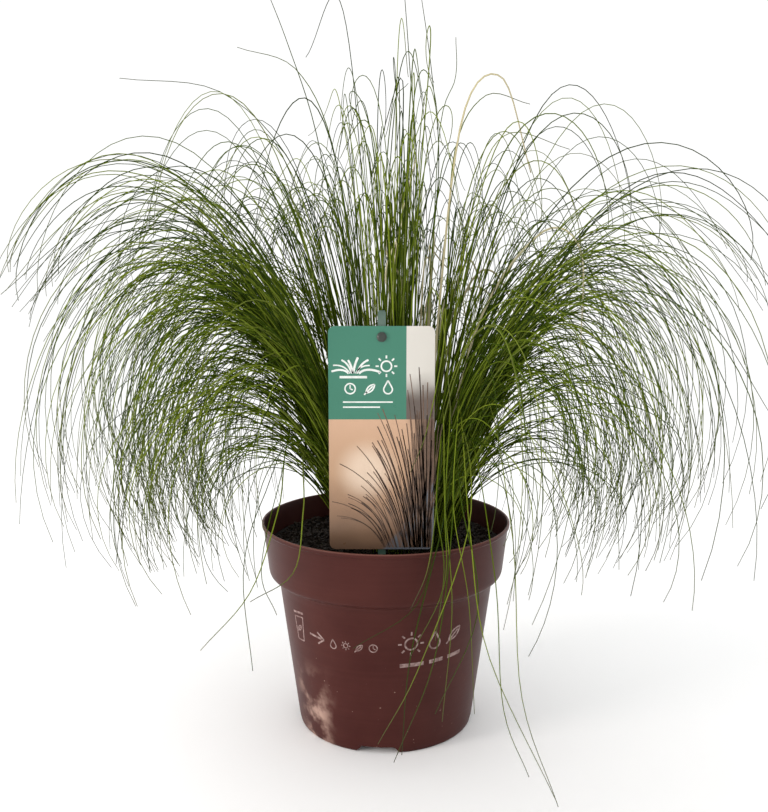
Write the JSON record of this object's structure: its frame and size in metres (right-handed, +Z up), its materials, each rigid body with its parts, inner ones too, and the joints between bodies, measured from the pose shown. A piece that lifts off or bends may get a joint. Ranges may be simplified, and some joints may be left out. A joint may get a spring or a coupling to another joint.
{
  "type": "mexican feather grass in a nursery pot",
  "caption": "Potted mexican feather grass: a fountain of hair-fine green blades in soil, in a red-brown plastic nursery pot, with a plain picture label on a stake.",
  "frame": {"origin": "middle of the pot's foot ring, on the surface that the pot stands on", "axes": "+Z up along the pot's axis, -Y out of the label's printed side, +X to the right of the label seen from the front"},
  "size_m": [0.5014, 0.3313, 0.4899],
  "materials": {
    "pot_plastic": "satin",
    "potting_soil": "matte",
    "green_blades": "satin",
    "straw_blades": "satin",
    "label_sheet": "satin",
    "stake_plastic": "gloss"
  },
  "bodies": {
    "root": {"pot": "pot_plastic", "soil": "potting_soil", "tuft_right": "green_blades", "tuft_back_right": "green_blades", "tuft_back": "green_blades", "tuft_back_left": "green_blades", "tuft_left_back": "green_blades", "tuft_left": "green_blades", "tuft_left_front": "green_blades", "tuft_front": "green_blades", "tuft_front_right": "green_blades", "tuft_straw": "straw_blades", "label": "label_sheet", "stake": "stake_plastic"}
  },
  "joints": []
}
